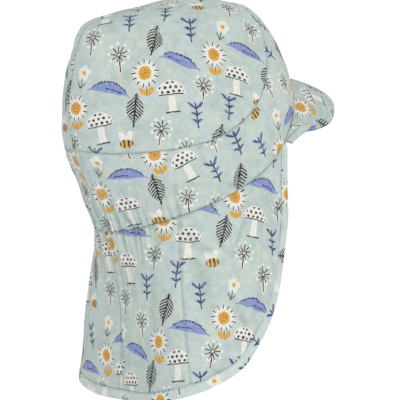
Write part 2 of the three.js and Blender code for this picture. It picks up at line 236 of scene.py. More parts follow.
@dataclass(frozen=True)
class CapForm:
    """The outer surfaces of the cap, as its CAD source makes them, in millimetres.

    The ruching and the creases are finer than the CAD source's, and the seams are drawn closer.
    """

    crown_height: float = 144.5
    front_reach: float = 106
    back_reach: float = 81
    half_width: float = 74
    brow_rise: float = 42
    worn_tilt: float = 24
    flap_drop: float = 121
    flap_flare: float = 22
    flap_tuck: float = 14
    peak_length: float = 45.5
    peak_spread: float = 12.8
    peak_drop: float = 23
    peak_arch: float = 1.7
    peak_end: float = 119.5
    gather_count: float = 11
    gather_span: float = 52
    gather_depth: float = 1.5
    gather_reach: float = 26
    gather_drift: float = 0.9
    gather_wander: float = 9
    seam_gap: float = 0.06
    seam_slant: float = 1.4
    fold_start: float = 0.15
    ruche_depth: float = 1.6
    ruche_reach: float = 13
    binding_width: float = 7.5
    crown_lean: float = 0.205
    brow_blunt: float = 0.13
    turn_over: float = 0.12
    origin: tuple[float, float, float] = (0, 5.76, -140.25)
    sections: Table = Table(
        "at depth front back side point",
        (-0.15, 0.014, -0.4, -0.385, -0.32, 0.36),
        (0, 0, 0, 0, 0, 0.38),
        (0.15, 0.014, 0.4, 0.385, 0.32, 0.38),
        (0.3, 0.071, 0.66, 0.545, 0.515, 0.38),
        (0.43, 0.2, 0.89, 0.715, 0.635, 0.36),
        (0.56, 0.39, 1, 0.925, 0.79, 0.3),
        (0.7, 0.59, 1.015, 1.02, 0.94, 0.22),
        (0.85, 0.8, 1.005, 1.01, 0.985, 0.17),
        (1, 1, 1, 1, 0.93, 0.167),
    )
    rim_line: Table = Table(
        "at rise",
        (0, 0.048),
        (60, 0.036),
        (90, 0.048),
        (105, 0.12),
        (120, 0.333),
        (140, 0.714),
        (160, 0.93),
        (180, 1),
    )
    crown_seam: Table = Table(
        "at share",
        (0, 0.69),
        (30, 0.72),
        (60, 0.755),
        (90, 0.77),
        (110, 0.74),
        (125, 0.665),
        (140, 0.55),
        (155, 0.45),
        (180, 0.4),
    )
    flap_edge: Table = Table(
        "at drop out back",
        (-20, 1, -0.58, -0.5),
        (0, 0.99, 0, -1),
        (20, 1, 0.58, -0.5),
        (35, 1, 0.92, 0.06),
        (50, 1.01, 1, 0.4),
        (65, 1.015, 0.86, 0.44),
        (85, 0.985, 0.7, 0.3),
        (100, 0.875, 0.5, 0.32),
        (108, 0.74, 0.33, 0.22),
        (114, 0.46, 0.15, 0.12),
    )
    peak_edge: Table = Table(
        "at ahead out drop",
        (118, 0.1, 0.22, 0.06),
        (130, 0.12, 0.7, 0.36),
        (140, 0.31, 1, 0.8),
        (150, 0.59, 1, 1),
        (160, 0.79, 0.86, 0.86),
        (170, 0.93, 0.52, 0.7),
        (180, 1, 0, 0.52),
    )
    crown_dents: tuple[Dent, ...] = dents(
        (38, 0.42, 22, 7, 40, 1.6),
        (96, 0.34, 30, 9, -35, 1.8),
        (-60, 0.4, 26, 9, 20, 1.5),
    )
    flap_folds: tuple[Dent, ...] = dents(
        (62, 0.42, 40, 7, 24, 2.2),
        (30, 0.3, 34, 6, -12, 1.8),
        (-36, 0.36, 38, 7, 10, 2),
    )
    cap_creases: tuple[Dent, ...] = dents(
        (50, 0.955, 12, 1.6, -12, 1.5),
        (-49, 0.96, 11, 1.6, 10, 1.4),
        (12, 0.86, 14, 3, 8, 0.8),
        (30, 0.88, 13, 2.6, -14, 0.8),
        (82, 0.43, 14, 3.5, -10, 0.7),
        (110, 0.3, 16, 4, 35, 0.7),
        (-110, 0.36, 18, 4, -30, 0.8),
        (24, 0.5, 18, 4, 24, 0.7),
    )
    flap_creases: tuple[Dent, ...] = dents(
        (58, 0.25, 33, 4.2, 50, -1.8),
        (61, 0.21, 30, 3.6, 50, 1.8),
        (35, 0.13, 17, 2.8, 28, 1.2),
        (2, 0.09, 14, 2.4, 4, 1),
        (18, 0.16, 17, 3, 6, 1),
        (49, 0.06, 11, 2, 16, 1.1),
        (-16, 0.14, 18, 3, -5, 1.1),
        (-35, 0.15, 20, 3, -24, 1.2),
        (-58, 0.24, 28, 4, -44, 1),
        (86, 0.55, 24, 6, 12, 0.8),
    )

    def worn(self, across: Array, back: Array, up: Array) -> Array:
        """From the cap's own frame, whose rim plane is level, to the frame as worn."""
        tilt = math.radians(self.worn_tilt)
        ahead = back * math.cos(tilt) + up * math.sin(tilt)
        above = up * math.cos(tilt) - back * math.sin(tilt)
        return np.stack(np.broadcast_arrays(across, ahead, above), -1)

    def gather(self, angle: Array, distance: Array) -> Array:
        """How far the elastic's gathers push the cloth out, at a distance from the rim."""
        across = np.minimum(np.abs(angle) / self.gather_span, 1)
        drift = self.gather_drift * np.sin(angle / self.gather_wander)
        wave = np.cos(math.pi * self.gather_count * angle / self.gather_span + drift)
        fade = np.cos(across * math.pi / 2) * np.exp(-distance / self.gather_reach)
        return self.gather_depth * wave * fade

    def ruche(self, angle: Array, distance: Array) -> Array:
        """Fine uneven ruching over the elastic, on both sides of the rim."""
        along = angle * self.half_width * math.radians(1)
        broad = np.sin(along * 1.36 + 1.5 * np.sin(along / 7.3 + 0.6) + 0.05 * distance)
        narrow = np.sin(along * 2.4 + 2.2 * np.sin(along / 5.1))
        uneven = 0.7 + 0.3 * np.sin(along / 4.3 + 1)
        across = np.minimum(np.abs(angle) / (self.gather_span + 2), 1)
        fade = (1 - across**4) * np.exp(-distance / self.ruche_reach)
        return self.ruche_depth * (0.62 * broad + 0.38 * narrow) * uneven * fade

    def cap_point(self, angle: Array, share: Array) -> Array:
        """The outside of the crown and band, at degrees from the centre back and a share down."""
        turn = np.radians(angle)
        ahead = np.cos(turn)
        section = {name: self.sections.read(name, share, False) for name in self.sections.columns}
        rim = self.brow_rise * self.rim_line.read("rise", np.abs(angle))
        sideways = 1 - ahead**2
        behind = self.back_reach * section["back"] * (1 - section["point"] * sideways)
        before = self.front_reach * section["front"] * (1 + self.brow_blunt * sideways)
        back = ahead * np.where(ahead > 0, behind, before)
        side = self.half_width * section["side"] * np.sin(turn)
        depth = section["depth"]
        up = self.crown_height - (self.crown_height - rim) * depth
        up = up + self.crown_lean * back * (1 - depth)
        push = self.gather(angle, up - rim) + self.ruche(angle, up - rim)
        for dent in self.crown_dents + self.cap_creases:
            push = push - dent.sink(angle, share, math.radians(self.half_width), self.crown_height)
        return self.worn(-side - push * np.sin(turn), back + push * ahead, up)

    def disc_point(self, across: Array, along: Array) -> Array:
        """The same surface over a flat disc, where it has no pole."""
        return self.cap_point(np.degrees(np.arctan2(across, along)), np.hypot(across, along))

    def cap_normal(self, angle: Array, share: Array) -> Array:
        """The way out of the crown and band."""
        turn = np.radians(angle)
        disc = share * np.sin(turn), share * np.cos(turn)
        return outward(self.disc_point, *disc, DISC_STEPS)

    def rim_point(self, angle: Array, below: float = 0) -> Array:
        """The rim, or a line below it, square to the rim plane."""
        down = self.worn(np.array(0), np.array(0), np.array(-1))
        return self.cap_point(angle, np.ones_like(angle)) + below * down

    def flap_point(self, angle: Array, share: Array) -> Array:
        """The outside of the flap, at degrees from the centre back and a share down."""
        angle, share = np.broadcast_arrays(np.asarray(angle, float), np.asarray(share, float))
        size = np.abs(angle)
        turn = np.radians(angle)
        settled = 1 - (1 - share) ** 3
        drop = self.flap_drop * self.flap_edge.read("drop", size, False)
        out = self.flap_flare * self.flap_edge.read("out", size, False)
        tuck = self.flap_tuck * self.flap_edge.read("back", size, False)
        fade = np.minimum(1, share / self.fold_start)
        per_degree = math.radians(self.half_width + self.flap_flare)
        push = self.gather(angle, share * drop) - self.gather(angle, 0 * angle)
        push = push + self.ruche(angle, share * drop) - self.ruche(angle, 0 * angle)
        for fold in self.flap_folds + self.flap_creases:
            push = push - fade * fold.sink(angle, share, per_degree, self.flap_drop)
        point = self.rim_point(angle, self.seam_gap).copy()
        point[..., 0] += np.where(angle < 0, 1, -1) * out * share
        point[..., 1] += tuck * settled
        point[..., 2] -= drop * share
        return point + self.worn(-push * np.sin(turn), push * np.cos(turn), 0 * push)

    def flap_normal(self, angle: Array, share: Array) -> Array:
        """The way out of the flap, which turns from the band's."""
        own = outward(self.flap_point, angle, np.maximum(share, SHEET_STEPS[1]), SHEET_STEPS)
        blend = np.minimum(1, share / self.turn_over)[..., None]
        return unit(self.cap_normal(angle, np.ones_like(angle)) * (1 - blend) + own * blend)

    def peak_point(self, angle: Array, share: Array) -> Array:
        """The peak's upper face, at degrees past 180 on the wearer's left, and a share out."""
        beyond = angle > 180
        size = np.where(beyond, 360 - angle, angle)
        point = self.rim_point(np.where(beyond, angle - 360, angle), self.seam_gap).copy()
        side = np.where(beyond, 1, -1)
        point[..., 0] += side * self.peak_spread * self.peak_edge.read("out", size) * share
        point[..., 1] -= self.peak_length * self.peak_edge.read("ahead", size) * share
        drop = self.peak_drop * self.peak_edge.read("drop", size)
        point[..., 2] -= drop * np.maximum(share, 0) ** self.peak_arch
        return point

    def peak_normal(self, angle: Array, share: Array) -> Array:
        """The way out of the peak's upper face."""
        inside = np.clip(share, SHEET_STEPS[1], 1 - SHEET_STEPS[1])
        return outward(self.peak_point, angle, inside, SHEET_STEPS)

    def flap_end(self) -> float:
        """Degrees from the centre back to the flap's front edge, behind the peak's corner."""
        ends = self.rim_point(np.array([self.peak_end, self.peak_end - 1]))
        return self.peak_end - (self.binding_width + 2 * self.seam_gap) / np.linalg.norm(
            ends[0] - ends[1]
        )

    def half_gap_share(self, angle: Array, share: Array) -> Array:
        """The share of the section that half a gap takes on the slanting crown seam."""
        step = 0.01
        length = self.cap_point(angle, share + step) - self.cap_point(angle, share - step)
        return self.seam_slant * self.seam_gap * step / np.linalg.norm(length, axis=-1)


# Cloth: laid flat, given a wall and made a mesh


def lay_flat(points: Array, guess: Array, rounds: int = 80) -> Array:
    """Lays a grid of cloth flat so that its lengths stay as true as they can.

    Args:
        points: A grid of points in space.
        guess: Roughly where each lies in the flat.
        rounds: How often the lengths are evened out.

    Returns:
        A grid of flat places, the same way up as the guess.
    """
    index = np.arange(points.shape[0] * points.shape[1]).reshape(points.shape[:2])
    pairs = [(index[1:], index[:-1]), (index[:, 1:], index[:, :-1])]
    pairs += [(index[1:, 1:], index[:-1, :-1]), (index[1:, :-1], index[:-1, 1:])]
    first = np.concatenate([one.ravel() for one, _ in pairs])
    second = np.concatenate([two.ravel() for _, two in pairs])
    space = points.reshape(-1, 3)
    length = np.linalg.norm(space[first] - space[second], axis=-1)
    weight = 1 / np.maximum(length, 1.0) ** 2
    stiffness = np.zeros((len(space), len(space)))
    np.add.at(stiffness, (first, first), weight)
    np.add.at(stiffness, (second, second), weight)
    np.add.at(stiffness, (first, second), -weight)
    np.add.at(stiffness, (second, first), -weight)
    solve = np.linalg.pinv(stiffness, hermitian=True)
    flat = guess.reshape(-1, 2).astype(float)
    for _ in range(rounds):
        gap = flat[first] - flat[second]
        pull = weight[:, None] * length[:, None] * unit(gap)
        load = np.zeros_like(flat)
        np.add.at(load, first, pull)
        np.add.at(load, second, -pull)
        flat = solve @ load
    return flat.reshape(guess.shape)


def seen_flat(points: Array, normals: Array) -> Array:
    """A first guess at a panel's flat cut: how it looks from straight outside."""
    facing = unit(normals.reshape(-1, 3).mean(0))
    right = unit(np.cross((0, 0, 1), facing))
    up = np.cross(facing, right)
    return np.stack([points @ right, points @ up], -1)


@dataclass(frozen=True)
class Rumple:
    """How softly a panel lies, in millimetres.

    Attributes:
        pucker: How high the puckers by its seams are.
        ease: How high its broad swells are.
        crease: How deep its thin creases are.
        reach: How far from a seam the puckers run.
        sizes: How large the puckers, the swells and the creases are.
        seeds: Which noise each of them is.
        upright: How much of its height the swells and creases follow, less for hanging folds.
    """

    pucker: float
    ease: float
    crease: float
    reach: float
    sizes: tuple[float, float, float]
    seeds: tuple[int, int, int]
    upright: float = 1.0


@dataclass
class Cloth:
    """A panel of cloth as a grid, with its flat cut.

    Attributes:
        name: The piece's name.
        points: The grid of its outside, columns by rows, in millimetres.
        normals: The way out at each point.
        across: Each column's place, from 0 to 1.
        down: Each row's place, from 0 to 1.
        wall: How thick it is.
        flat: Where each point lies in the flat cut, in millimetres.
    """

    name: str
    points: Array
    normals: Array
    across: Array
    down: Array
    wall: float
    flat: Array | None = None

    def lay(self, cut: Cut, guess: Array | None = None) -> None:
        """Finds the flat cut on a coarse grid, and turns it to the cloth's grain.

        Args:
            cut: How the panel was turned when it was cut, and where on the printed cloth.
            guess: A first guess at the flat cut, or None to look at it from outside.
        """
        grain, shift = cut
        guess = seen_flat(self.points, self.normals) if guess is None else guess
        columns, lines = (
            np.unique(np.linspace(0, len(places) - 1, count).round().astype(int))
            for places, count in ((self.across, FLAT_COLUMNS), (self.down, FLAT_LINES))
        )
        coarse = np.ix_(columns, lines)
        flat = lay_flat(self.points[coarse], guess[coarse])
        rows = np.stack([self._between(flat[..., k], columns, lines) for k in (0, 1)], -1)
        turn = math.radians(grain)
        rows = rows - rows.reshape(-1, 2).mean(0)
        turned = [
            rows[..., 0] * math.cos(turn) - rows[..., 1] * math.sin(turn) + shift[0],
            rows[..., 0] * math.sin(turn) + rows[..., 1] * math.cos(turn) + shift[1],
        ]
        self.flat = np.stack(turned, -1)

    def _between(self, values: Array, columns: Array, lines: Array) -> Array:
        """Reads a coarse grid of values at every column and row."""
        wide = [np.interp(self.across, self.across[columns], line) for line in values.T]
        tall = [np.interp(self.down, self.down[lines], row) for row in np.array(wide).T]
        return np.array(tall)

    def from_edges(self) -> Array:
        """Each point's distance along the cloth from the panel's nearest edge."""
        nearest = np.full(self.points.shape[:2], np.inf)
        for axis in (0, 1):
            run = run_along(self.points, axis)
            whole = np.take(run, [-1], axis=axis)
            usable = whole > 4 * self.wall
            nearest = np.minimum(nearest, np.where(usable, np.minimum(run, whole - run), np.inf))
        return nearest

    def hollows(self) -> Array:
        """How sharply the cloth bends: up to 1 in a fold's hollow, down to -1 on its ridge."""
        bend = np.zeros(self.points.shape[:2])
        for axis in (0, 1):
            slope = np.gradient(self.points, axis=axis)
            turn = np.gradient(slope, axis=axis)
            squared = np.maximum((slope**2).sum(-1), LEAST_STEP_SQUARED)
            bend += (turn * self.normals).sum(-1) / squared
        for _ in range(BEND_ROUNDS):
            near = np.pad(bend, 1, mode="edge")
            beside = near[:-2, 1:-1] + near[2:, 1:-1] + near[1:-1, :-2] + near[1:-1, 2:]
            bend = (beside + 2 * bend) / 6
        return bend / (np.abs(bend) + BEND_HALF)

    def raise_by(self, height: Array) -> None:
        """Moves the cloth out along its normals, and not at its edges."""
        held = height * np.minimum(1, self.from_edges() / FULL_RAISE)
        self.points = self.points + self.normals * held[..., None]

    def rumple(self, how: Rumple, side: int = 0) -> None:
        """Puckers the seams, and gives the rest soft swells and thin creases."""
        near = np.exp(-((self.from_edges() / how.reach) ** 2))
        hung = self.points * np.array([1, 1, how.upright])
        sizes, seeds = how.sizes, [seed + side for seed in how.seeds]
        height = how.pucker * near * ruffle(self.points, sizes[0], seeds[0])
        height += how.ease * (1 - near) * ruffle(hung, sizes[1], seeds[1])
        height += how.crease * (1 - 0.6 * near) * creased(hung, sizes[2], seeds[2])
        self.raise_by(height)

    def make(self, outside: "Look", inside: "Look") -> bpy.types.Object:
        """A closed wall, whose edges roll over into the seams.

        Args:
            outside: The finish of its outer face and edges.
            inside: The finish of its inner face.

        Returns:
            The new object, in metres, at the world origin.
        """
        columns, lines = self.points.shape[:2]
        edge, hollow = self.from_edges(), self.hollows().reshape(-1)
        deep = min(self.wall, EDGE_DEPTH)
        roll = np.exp(-((edge / (EDGE_SPREAD * deep)) ** 2))[..., None] * deep
        outer = self.points - self.normals * roll * EDGE_SINK
        inner = self.points - self.normals * (self.wall - roll * EDGE_RISE)
        count = columns * lines
        index = np.arange(count).reshape(columns, lines)
        quads = [index[:-1, :-1], index[:-1, 1:], index[1:, 1:], index[1:, :-1]]
        face = np.stack([quad.ravel() for quad in quads], -1)
        ring = np.concatenate([index[:, 0], index[-1, 1:], index[-2::-1, -1], index[0, -2:0:-1]])
        after = np.roll(ring, -1)
        sides = np.stack([ring, after, after + count, ring + count], -1)
        faces = np.concatenate([face, face[:, ::-1] + count, sides])
        kinds = np.repeat([0, 1, 0], [len(face), len(face), len(sides)])
        points = np.concatenate([outer.reshape(-1, 3), inner.reshape(-1, 3)])
        # The edge and hollow marks steer the finishes' painted shade at the seams and in the folds'
        # hollows, and their painted highlight on the ridges.
        return make_object(
            self.name,
            points,
            faces,
            np.tile(self.flat.reshape(-1, 2), (2, 1)),
            [outside, inside],
            kinds,
            {"edge": np.tile(edge.reshape(-1), 2), "hollow": np.concatenate([hollow, -hollow])},
        )


def add_object(name: str, data: bpy.types.ID) -> bpy.types.Object:
    """A new object in the scene, at the world origin."""
    made = bpy.data.objects.new(name, data)
    bpy.context.scene.collection.objects.link(made)
    return made


def make_object(
    name: str,
    points: Array,
    faces: Array,
    flat: Array,
    looks: Sequence["Look"],
    kinds: Array | None = None,
    marks: dict[str, Array] | None = None,
) -> bpy.types.Object:
    """A mesh object with its flat cut as a UV map, its faces turned outwards.

    Args:
        name: The piece's name.
        points: Its corners, in millimetres in the cap's frame.
        faces: The corners of each face.
        flat: Each corner's place in the flat cut, in millimetres.
        looks: Its finishes.
        kinds: Which finish each face has.
        marks: Named numbers for each corner, as the finishes read them.

    Returns:
        The object, in metres in the part's frame.
    """
    placed = (points + np.array(CapForm.origin)) * MILLI
    mesh = bpy.data.meshes.new(name)
    mesh.from_pydata(placed.tolist(), [], faces.tolist())
    corner = np.empty(len(mesh.loops), np.int32)
    mesh.loops.foreach_get("vertex_index", corner)
    pattern = mesh.uv_layers.new(name="cut")
    pattern.data.foreach_set("uv", (flat[corner] * MILLI).astype(np.float32).ravel())
    plain = {"edge": np.full(len(points), FAR_FROM_EDGE), "hollow": np.zeros(len(points))}
    for mark, values in (plain | (marks or {})).items():
        mesh.attributes.new(mark, "FLOAT", "POINT").data.foreach_set("value", values)
    for look in looks:
        mesh.materials.append(look.material())
    if kinds is not None:
        mesh.polygons.foreach_set("material_index", kinds.astype(np.int32))
    shell = bmesh.new()
    shell.from_mesh(mesh)
    bmesh.ops.remove_doubles(shell, verts=shell.verts, dist=MERGE_REACH)
    if shell.calc_volume(signed=True) < 0:
        bmesh.ops.reverse_faces(shell, faces=shell.faces)
    shell.to_mesh(mesh)
    shell.free()
    mesh.shade_smooth()
    return add_object(name, mesh)


# Shader nodes as Python


def maths_method(operation: str, swapped: bool = False) -> Callable[..., "Num"]:
    """A method of Num that adds a Math node.

    Args:
        operation: The node's operation.
        swapped: Whether the number itself comes last.

    Returns:
        The method, which takes the operation's other numbers.
    """

    def method(self: "Num", *others: "Num | float") -> "Num":
        """The operation's result."""
        terms = (self, *others)
        return self.bench.maths(operation, *(terms[::-1] if swapped else terms))

    return method


class Num:
    """A number in a shader tree. Arithmetic on it adds Math nodes.

    "least" joins two shapes, and "most" keeps what two shapes share.
    """

    def __init__(self, bench: "Bench", socket: bpy.types.NodeSocket) -> None:
        """Wraps an output socket."""
        self.bench = bench
        self.socket = socket

    __add__ = __radd__ = maths_method("ADD")
    __mul__ = __rmul__ = maths_method("MULTIPLY")
    __sub__, __rsub__ = maths_method("SUBTRACT"), maths_method("SUBTRACT", True)
    __truediv__, __rtruediv__ = maths_method("DIVIDE"), maths_method("DIVIDE", True)
    __mod__ = maths_method("FLOORED_MODULO")
    __gt__ = maths_method("GREATER_THAN")
    __abs__ = maths_method("ABSOLUTE")
    floor = maths_method("FLOOR")
    fraction = maths_method("FRACT")
    nearest = maths_method("ROUND")
    sine = maths_method("SINE")
    cosine = maths_method("COSINE")
    least = maths_method("MINIMUM")
    most = maths_method("MAXIMUM")

    def __neg__(self) -> "Num":
        """The number with its sign turned."""
        return self * -1

    def held(self, low: float, high: float) -> "Num":
        """The number kept between two others."""
        return self.least(high).most(low)

    def ink(self, soft: float = 0.14) -> "Num":
        """How much of a shape's colour shows, from a distance that is under 0 inside it."""
        return self.bench.maths("MULTIPLY_ADD", self, -1 / soft, 0.5, clamp=True)


class Bench:
    """Where a shader tree is built."""

    def __init__(self, tree: bpy.types.NodeTree) -> None:
        """Takes an empty tree."""
        self.tree = tree
        tree.nodes.clear()

    def add(
        self, kind: str, settings: dict | None = None, values: dict | None = None
    ) -> bpy.types.Node:
        """Adds a node.

        Args:
            kind: The node's type.
            settings: Its own settings, set first. "stops" gives a ramp's places and colours.
            values: A value or a link for each named or numbered socket.

        Returns:
            The node.
        """
        node = self.tree.nodes.new(kind)
        for name, value in (settings or {}).items():
            if name != "stops":
                setattr(node, name, value)
                continue
            stops = node.color_ramp.elements
            while len(stops) < len(value):
                stops.new(1)
            for stop, (place, colour) in zip(stops, value):
                stop.position, stop.color = place, (*colour, 1)
        for name, value in (values or {}).items():
            socket = node.inputs[name]
            if isinstance(value, Num):
                value = value.socket
            if isinstance(value, bpy.types.NodeSocket):
                self.tree.links.new(value, socket)
            else:
                socket.default_value = value
        return node

    def maths(self, operation: str, *terms: Num | float, clamp: bool = False) -> Num:
        """A Math node on some numbers."""
        settings = {"operation": operation, "use_clamp": clamp}
        node = self.add("ShaderNodeMath", settings, dict(enumerate(terms)))
        return Num(self, node.outputs[0])

    def number(self, node: bpy.types.Node, output: str | int) -> Num:
        """One of a node's outputs, as a number."""
        return Num(self, node.outputs[output])

    def parts(self, whole: bpy.types.NodeSocket) -> list[Num]:
        """A vector's or a colour's three parts."""
        kind = "ShaderNodeSeparateXYZ" if whole.type == "VECTOR" else "ShaderNodeSeparateColor"
        node = self.add(kind, None, {0: whole})
        return [self.number(node, k) for k in range(3)]

    def noise(
        self, place: bpy.types.NodeSocket, scale: float, detail: float, rough: float
    ) -> bpy.types.Node:
        """A Noise Texture at a place, whose outputs are a number and a colour."""
        values = {"Vector": place, "Scale": scale, "Detail": detail, "Roughness": rough}
        return self.add("ShaderNodeTexNoise", None, values)

    def mark(self, name: str) -> Num:
        """One of the piece's named numbers."""
        return self.number(self.add("ShaderNodeAttribute", {"attribute_name": name}), "Fac")

    def bump(self, height: Num, strength: float, distance: float) -> bpy.types.NodeSocket:
        """The way out of a surface with fine relief."""
        values = {"Strength": strength, "Distance": distance, "Height": height}
        return self.add("ShaderNodeBump", None, values).outputs[0]

    def finish(self, shader: str, values: dict, kind: str = "Material") -> None:
        """Ends the tree in a shader with some values."""
        made = self.add(shader, None, values)
        self.add("ShaderNodeOutput" + kind, None, {0: made.outputs[0]})

    def mix(self, share: Num | float, under: object, over: object) -> bpy.types.NodeSocket:
        """One colour over another.

        Args:
            share: How much of the upper colour shows.
            under: The lower colour, a link or four numbers.
            over: The upper colour.

        Returns:
            The mixed colour's socket.
        """
        settings = {"data_type": "RGBA", "blend_type": "MIX"}
        return self.add("ShaderNodeMix", settings, {0: share, 6: under, 7: over}).outputs[2]

    def length(self, across: Num, up: Num) -> Num:
        """The length of a vector of two numbers."""
        vector = self.add("ShaderNodeCombineXYZ", None, {"X": across, "Y": up}).outputs[0]
        return self.number(self.add("ShaderNodeVectorMath", {"operation": "LENGTH"}, {0: vector}), 1)


def paint(code: str) -> tuple[float, float, float, float]:
    """A colour as light, from a six-letter paint code."""
    parts = [int(code[k : k + 2], 16) / 255 for k in (0, 2, 4)]
    light = [p / 12.92 if p < 0.04045 else ((p + 0.055) / 1.055) ** 2.4 for p in parts]
    return (*light, 1.0)


# The printed pattern


class Ink(Enum):
    """The print's inks."""

    CREAM = paint("cacac4")
    MUSTARD = paint("be8e28")
    OCHRE = paint("985e10")
    PERIWINKLE = paint("727faf")
    NAVY = paint("2f385e")
    CHARCOAL = paint("1d1f21")
    BROWN = paint("332f28")


@dataclass(frozen=True)
class Spot:
    """A place on the print with its own x and y, in millimetres."""

    bench: Bench
    x: Num
    y: Num

    def moved(self, across: float, up: float) -> "Spot":
        """The place about another middle."""
        return Spot(self.bench, self.x - across, self.y - up)

    def turned(self, degrees: float) -> "Spot":
        """The place about an axis that has been turned."""
        c, s = math.cos(math.radians(degrees)), math.sin(math.radians(degrees))
        return Spot(self.bench, self.x * c + self.y * s, self.y * c - self.x * s)

    def mirrored(self) -> "Spot":
        """The place with both sides alike."""
        return Spot(self.bench, abs(self.x), self.y)

    def fan(self, count: int) -> "Spot":
        """The place within the nearest of some equal spokes, which y runs out along."""
        step = 2 * math.pi / count
        angle = self.bench.maths("ARCTAN2", self.x, self.y)
        off = angle - (angle / step).nearest() * step
        radius = self.bench.length(self.x, self.y)
        return Spot(self.bench, radius * off.sine(), radius * off.cosine())

    def disc(self, radius: float) -> Num:
        """The distance from a disc."""
        return self.bench.length(self.x, self.y) - radius

    def oval(self, wide: float, tall: float) -> Num:
        """Nearly the distance from an oval of two half widths."""
        reach = self.bench.length(self.x / wide, self.y / tall)
        return (reach - 1) * min(wide, tall)

    def stroke(self, start: float, end: float, half: float) -> Num:
        """The distance from a round-ended line up the y axis."""
        beyond = self.y - self.y.held(start, end)
        return self.bench.length(self.x, beyond) - half


Layers = list[tuple[Num, Ink]]


class Motif:
    """A printed figure."""

    def layers(self, at: Spot) -> Layers:
        """Its inks from the lowest up, each with how much of it shows."""
        raise NotImplementedError


@dataclass(frozen=True)
class Daisy(Motif):
    """A daisy with cream petals, a mustard middle and two mustard leaves."""

    petals: int = 13

    def layers(self, at: Spot) -> Layers:
        """Petals, their dark veins, the middle and its seeds, and the leaves."""
        spoke = at.fan(self.petals)
        petal = spoke.moved(0, 5.7).oval(1.45, 2.5)
        vein = spoke.stroke(6.0, 8.0, 0.38)
        seeds = at.fan(7).moved(0, 1.9).disc(0.5)
        leaf = at.mirrored().moved(0.5, -12.6).turned(-42).moved(0, 2.7).oval(1.5, 2.8)
        stalk = at.stroke(-13, -8, 0.35)
        return [
            (stalk.ink(), Ink.OCHRE),
            (leaf.ink(), Ink.MUSTARD),
            (petal.ink(), Ink.CREAM),
            (vein.ink(), Ink.CHARCOAL),
            (at.disc(3.9).ink(), Ink.MUSTARD),
            (seeds.least(at.disc(0.7)).ink(), Ink.OCHRE),
        ]


@dataclass(frozen=True)
class Toadstool(Motif):
    """A cream toadstool with dark spots."""

    spot_pitch: float = 3.4

    def layers(self, at: Spot) -> Layers:
        """The cap and stem, the spots and the tuft of ground below."""
        cap = at.oval(9.0, 8.4).most(-at.y)
        stem = (abs(at.x) - 2.0 + at.y * 0.05).most(abs(at.y + 5.4) - 5.6)
        row = (at.y / 2.9).floor()
        cell_x = ((at.x / self.spot_pitch + row * 0.5).fraction() - 0.5) * self.spot_pitch
        cell_y = ((at.y / 2.9).fraction() - 0.5) * 2.9
        spots = Spot(at.bench, cell_x, cell_y).disc(0.92).most(cap + 0.7)
        ground = at.moved(0, -11).turned(90).stroke(-4.2, 4.2, 0.45)
        gills = at.moved(0, -0.1).turned(90).stroke(-7.4, 7.4, 0.35)
        return [
            (cap.least(stem).ink(), Ink.CREAM),
            (spots.ink(), Ink.CHARCOAL),
            (ground.least(gills).ink(), Ink.BROWN),
        ]


@dataclass(frozen=True)
class StripedLeaf(Motif):
    """A broad leaf with dark slanting stripes."""

    half_length: float = 9.0
    half_width: float = 5.2

    def layers(self, at: Spot) -> Layers:
        """A pale wash, the stripes, and the midrib that runs on into a stalk."""
        along = at.y / self.half_length
        leaf = abs(at.x) - (1 - along * along) * self.half_width
        wave = (at.y * 0.5 + abs(at.x) * 0.42).fraction()
        stripes = (abs(wave - 0.5) * 2.0 - 0.64).most(leaf)
        rib = at.stroke(-10.6, self.half_length, 0.6)
        return [
            (leaf.ink() * 0.5, Ink.CREAM),
            (stripes.ink(), Ink.CHARCOAL),
            (rib.ink(), Ink.CHARCOAL),
        ]


@dataclass(frozen=True)
class WillowLeaf(Motif):
    """A long bent periwinkle leaf with a toothed navy edge."""

    half_length: float = 12.6
    half_width: float = 3.3

    def layers(self, at: Spot) -> Layers:
        """The leaf, its teeth on one side and its two veins."""
        bent = at.y + at.x * at.x * 0.02 - 2
        along = at.x / self.half_length
        wide = (1 - along * along) * self.half_width
        leaf = abs(bent) - wide
        teeth = abs((at.x / 1.9).fraction() - 0.5) * 1.3
        crest = (abs(bent - wide) - teeth - 0.15).most(abs(at.x) - 11)
        vein = (abs(bent + wide * 0.35) - 0.4).most(abs(at.x + 3) - 5)
        stalk = (abs(bent) - 0.45).most(abs(at.x) - self.half_length - 1)
        return [
            (leaf.least(stalk).ink(), Ink.PERIWINKLE),
            (crest.least(vein).ink(), Ink.NAVY),
        ]


@dataclass(frozen=True)
class Sprig(Motif):
    """An upright navy sprig with narrow leaves in pairs."""

    pitch: float = 4.3

    def layers(self, at: Spot) -> Layers:
        """A periwinkle wash below navy strokes."""
        side = at.mirrored()
        row = (side.y / self.pitch).nearest().held(-1, 1)
        pair = Spot(at.bench, side.x, side.y - row * self.pitch).turned(-50)
        leaf = pair.stroke(0.6, 5.6, 0.55)
        wash = pair.moved(0, 3.6).oval(1.2, 2.9)
        stem = at.stroke(-7.5, 7.6, 0.5)
        return [
            (wash.ink(0.5) * 0.7, Ink.PERIWINKLE),
            (leaf.least(stem).ink(), Ink.NAVY),
        ]


@dataclass(frozen=True)
class SeedHead(Motif):
    """A cream seed head with dark stalks."""

    spokes: int = 9

    def layers(self, at: Spot) -> Layers:
        """A cream star, its tips, and thin dark strokes on it."""
        spoke = at.fan(self.spokes)
        star = spoke.stroke(1.4, 5.8, 0.62).least(spoke.moved(0, 6.2).disc(1.0))
        strokes = spoke.stroke(1.2, 4.9, 0.4).least(at.stroke(-10.5, -1.2, 0.4))
        halo = at.stroke(-10.7, -1.2, 0.95)
        return [(star.least(halo).ink(), Ink.CREAM), (strokes.ink(), Ink.BROWN)]


